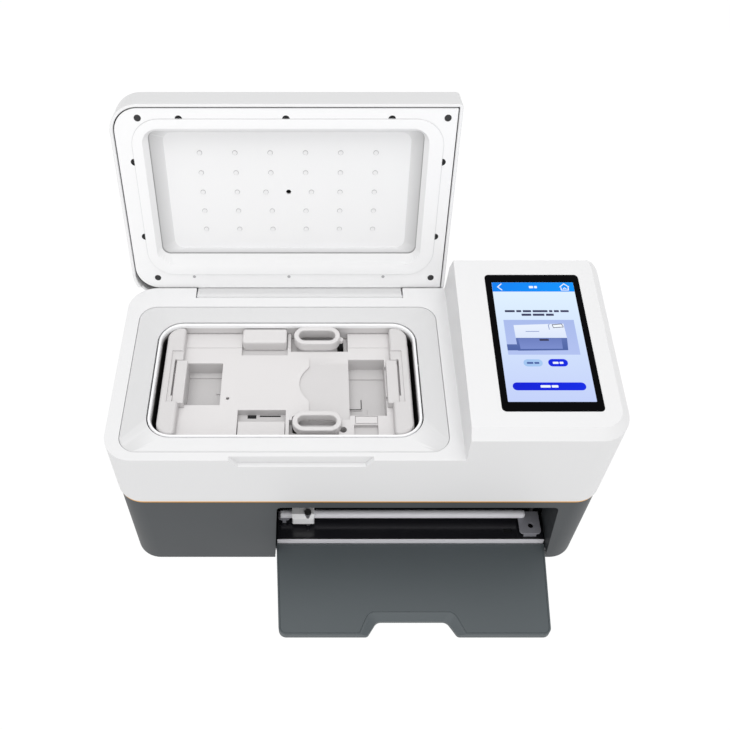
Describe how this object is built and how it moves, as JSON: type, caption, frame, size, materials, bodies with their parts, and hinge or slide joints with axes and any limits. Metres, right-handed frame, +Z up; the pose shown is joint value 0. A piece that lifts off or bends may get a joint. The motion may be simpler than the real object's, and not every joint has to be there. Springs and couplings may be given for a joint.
{
  "type": "phone film cutting and laminating machine",
  "caption": "Bench-top machine that cuts screen film and laminates it in a hinged-lid vacuum chamber, with a touch console and drop-down feed door.",
  "frame": {"origin": "centre of the footprint of the machine with its lid open and its door down, on the table", "axes": "+X to the right along the body's width, +Y to the rear, +Z up from the table"},
  "size_m": [0.42, 0.3338, 0.347],
  "materials": {
    "white_shell": "satin",
    "warm_white_plastic": "satin",
    "rim_white": "gloss",
    "grey_base": "matte",
    "door_grey": "satin",
    "gold_trim": "satin",
    "black_plastic": "gloss",
    "dark_metal": "satin",
    "steel": "brushed",
    "grey_bracket": "satin",
    "aluminium": "satin",
    "rubber": "matte",
    "grip_rubber": "matte",
    "screen_glass": "gloss",
    "circuit_green": "satin"
  },
  "bodies": {
    "housing": {"base_shell": "grey_base", "feet": "rubber", "chassis_plate": "steel", "gold_trim_band": "gold_trim", "hinge_pins": "steel", "touch_screen_glass": "screen_glass", "display_module": "dark_metal", "display_frame": "black_plastic", "upper_shell": "white_shell", "chamber_surround": "white_shell", "chamber_rim": "rim_white", "chamber_tub": "dark_metal", "phone_platform": "warm_white_plastic", "platform_posts": "aluminium", "door_hinge_pins": "steel", "slot_liner": "black_plastic", "cutting_bed": "black_plastic", "bed_edge_strip": "steel", "left_cheek_plate": "dark_metal", "right_cheek_plate": "dark_metal", "right_rod_bracket": "grey_bracket", "left_rod_bracket": "grey_bracket", "guide_rod": "steel", "feed_motor": "dark_metal", "carriage_motor": "dark_metal", "cutter_rear_cover": "black_plastic", "motor_bridge": "dark_metal", "power_supply": "aluminium", "pump_motor": "dark_metal", "pump_head": "black_plastic", "pump_cradle": "rubber", "air_valve": "black_plastic", "control_board": "circuit_green", "board_posts": "steel", "board_components": "black_plastic", "power_inlet": "black_plastic", "switch_housing": "black_plastic"},
    "lid": {"lid_shell": "white_shell", "lid_liner": "white_shell", "pressure_plate": "white_shell", "pressure_plate_bosses": "white_shell", "lid_screws": "steel", "air_port_fitting": "aluminium", "hinge_knuckle": "white_shell"},
    "door": {"slot_door": "door_grey"},
    "left_jaw_slide": {"left_jaw": "warm_white_plastic", "left_jaw_pad": "grip_rubber"},
    "right_jaw_slide": {"right_jaw": "warm_white_plastic", "right_jaw_pad": "grip_rubber"},
    "back_clamp": {"back_clamp_slide": "aluminium", "back_finger_ring": "warm_white_plastic", "back_stop_tab": "warm_white_plastic"},
    "front_clamp": {"front_clamp_slide": "aluminium", "front_finger_ring": "warm_white_plastic", "front_stop_tab": "warm_white_plastic"},
    "carriage": {"blade_carriage": "warm_white_plastic"},
    "blade": {"blade_holder": "steel"},
    "feed": {"feed_roller": "rubber"},
    "pinch": {"pinch_roller": "rubber"},
    "rocker": {"power_rocker": "black_plastic"}
  },
  "joints": [
    {"name": "lid_hinge", "type": "hinge", "parent": "housing", "child": "lid", "pos_m": [-0.063, 0.09577, 0.1675], "axis": [1, 0, 0], "range_deg": [0, 102]},
    {"name": "door_hinge", "type": "hinge", "parent": "housing", "child": "door", "pos_m": [0.0525, -0.08213, 0.00845], "axis": [-1, 0, 0], "range_deg": [0, 90]},
    {"name": "left_jaw_travel", "type": "slide", "parent": "housing", "child": "left_jaw_slide", "axis": [1, 0, 0], "range_m": [0, 0.015]},
    {"name": "right_jaw_travel", "type": "slide", "parent": "housing", "child": "right_jaw_slide", "axis": [-1, 0, 0], "range_m": [0, 0.015]},
    {"name": "back_clamp_travel", "type": "slide", "parent": "housing", "child": "back_clamp", "axis": [0, -1, 0], "range_m": [0, 0.008]},
    {"name": "front_clamp_travel", "type": "slide", "parent": "housing", "child": "front_clamp", "axis": [0, 1, 0], "range_m": [0, 0.008]},
    {"name": "carriage_travel", "type": "slide", "parent": "housing", "child": "carriage", "axis": [1, 0, 0], "range_m": [0, 0.19]},
    {"name": "blade_press", "type": "slide", "parent": "carriage", "child": "blade", "axis": [0, 0, -1], "range_m": [0, 0.0015], "stiffness_N_per_m": 300, "springref_m": -0.0015},
    {"name": "feed_spin", "type": "hinge", "parent": "housing", "child": "feed", "pos_m": [0.0505, -0.02883, 0.0212], "axis": [1, 0, 0], "continuous": true},
    {"name": "pinch_spin", "type": "hinge", "parent": "housing", "child": "pinch", "pos_m": [0.0505, -0.02883, 0.0304], "axis": [1, 0, 0], "continuous": true},
    {"name": "rocker_tilt", "type": "hinge", "parent": "housing", "child": "rocker", "pos_m": [-0.105, 0.09656, 0.044], "axis": [1, 0, 0], "range_deg": [0, 16]}
  ],
  "couplings": [
    {"joint": "right_jaw_travel", "follows": "left_jaw_travel", "ratio": 1},
    {"joint": "front_clamp_travel", "follows": "back_clamp_travel", "ratio": 1},
    {"joint": "pinch_spin", "follows": "feed_spin", "ratio": -1.25}
  ]
}
